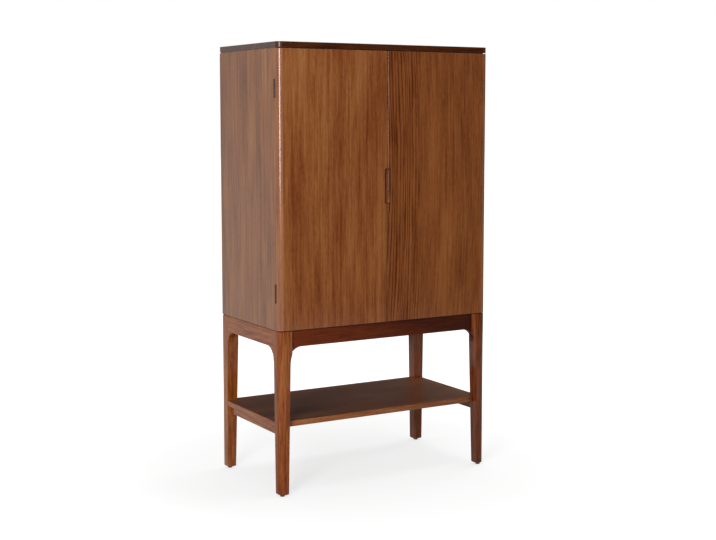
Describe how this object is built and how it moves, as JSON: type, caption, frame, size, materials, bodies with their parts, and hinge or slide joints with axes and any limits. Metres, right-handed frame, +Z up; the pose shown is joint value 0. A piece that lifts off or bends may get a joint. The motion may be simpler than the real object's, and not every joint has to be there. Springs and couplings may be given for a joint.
{
  "type": "buffet cabinet",
  "caption": "Tall two-door buffet cabinet in stained wood on an open base of tapered legs and arched aprons, with a low shelf between the legs and a shared finger pull.",
  "frame": {"origin": "on the floor under the middle of the cabinet", "axes": "+Z up, -Y the front with the doors, +X to the right as seen from the front"},
  "size_m": [0.8374, 0.446, 1.5],
  "materials": {
    "leg_wood": "walnut stain under satin lacquer, upright grain",
    "apron_wood": "walnut stain under satin lacquer, grain along the rail",
    "side_wood": "veneer, walnut stain, satin lacquer",
    "door_wood": "veneer, walnut stain, satin lacquer",
    "top_wood": "solid wood, dark walnut stain, satin lacquer",
    "shelf_wood": "solid wood, walnut stain, satin lacquer",
    "inner_wood": "thin walnut stain, matt lacquer",
    "back_ply": "plywood, thin walnut stain",
    "antique_bronze": "antique bronze plating",
    "zinc_steel": "zinc-plated steel",
    "black_nylon": "moulded nylon",
    "catch_plastic": "brown moulded plastic",
    "magnet": "sintered magnet"
  },
  "bodies": {
    "cabinet": {"front_left_leg": "leg_wood", "front_right_leg": "leg_wood", "rear_left_leg": "leg_wood", "rear_right_leg": "leg_wood", "front_apron": "apron_wood", "rear_apron": "apron_wood", "left_apron": "apron_wood", "right_apron": "apron_wood", "corner_blocks": "inner_wood", "base_bolts": "zinc_steel", "foot_glides": "black_nylon", "lower_shelf": "shelf_wood", "left_shelf_rail": "leg_wood", "right_shelf_rail": "leg_wood", "shelf_rail_screws": "zinc_steel", "left_side_panel": "side_wood", "right_side_panel": "side_wood", "bottom_panel": "inner_wood", "top_panel": "top_wood", "front_top_rail": "inner_wood", "rear_top_rail": "inner_wood", "top_screws": "zinc_steel", "back_panel": "back_ply", "back_screws": "zinc_steel", "inner_shelves": "inner_wood", "shelf_pins": "antique_bronze", "left_carcass_leaves": "antique_bronze", "right_carcass_leaves": "antique_bronze", "left_hinge_pins": "antique_bronze", "right_hinge_pins": "antique_bronze", "left_carcass_screws": "antique_bronze", "right_carcass_screws": "antique_bronze", "catches": "catch_plastic", "catch_magnets": "magnet", "catch_screws": "zinc_steel"},
    "left_door_body": {"left_door": "door_wood", "left_door_leaves": "antique_bronze", "left_door_screws": "antique_bronze", "left_strike_plate": "zinc_steel", "left_strike_screws": "zinc_steel"},
    "right_door_body": {"right_door": "door_wood", "right_door_leaves": "antique_bronze", "right_door_screws": "antique_bronze", "right_strike_plate": "zinc_steel", "right_strike_screws": "zinc_steel"}
  },
  "joints": [
    {"name": "left_door_hinge", "type": "hinge", "parent": "cabinet", "child": "left_door_body", "pos_m": [-0.4155, -0.2, 1.013], "axis": [0, 0, -1], "range_deg": [0, 170]},
    {"name": "right_door_hinge", "type": "hinge", "parent": "cabinet", "child": "right_door_body", "pos_m": [0.4155, -0.2, 1.013], "axis": [0, 0, 1], "range_deg": [0, 170]}
  ]
}
